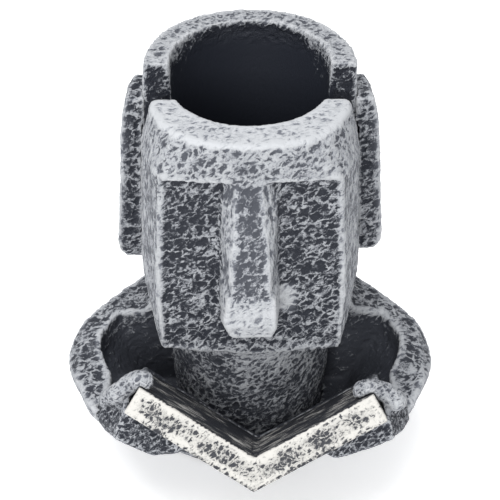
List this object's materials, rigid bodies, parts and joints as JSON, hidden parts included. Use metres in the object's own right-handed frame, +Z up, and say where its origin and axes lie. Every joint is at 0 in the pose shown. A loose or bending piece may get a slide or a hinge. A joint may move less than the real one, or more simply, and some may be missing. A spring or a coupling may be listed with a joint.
{
  "type": "stone-look figure desk organiser",
  "caption": "Long-faced stone-look figure: its head is a pen cup with a phone slot, and its arms close round a tray and hold an open book.",
  "frame": {"origin": "centre of the bounding box in X and Y, on the surface that the felt under the base stands on", "axes": "+Z up, -Y the way the face looks, +X to the right of someone facing it"},
  "size_m": [0.1206, 0.1084, 0.14],
  "materials": {
    "stone": "matte",
    "worn_stone": "matte",
    "felt": "matte"
  },
  "bodies": {
    "root": {"torso": "stone", "head": "stone", "left_ear": "stone", "right_ear": "stone", "left_hand": "stone", "right_hand": "stone", "open_book": "worn_stone", "base_felt": "felt"}
  },
  "joints": []
}
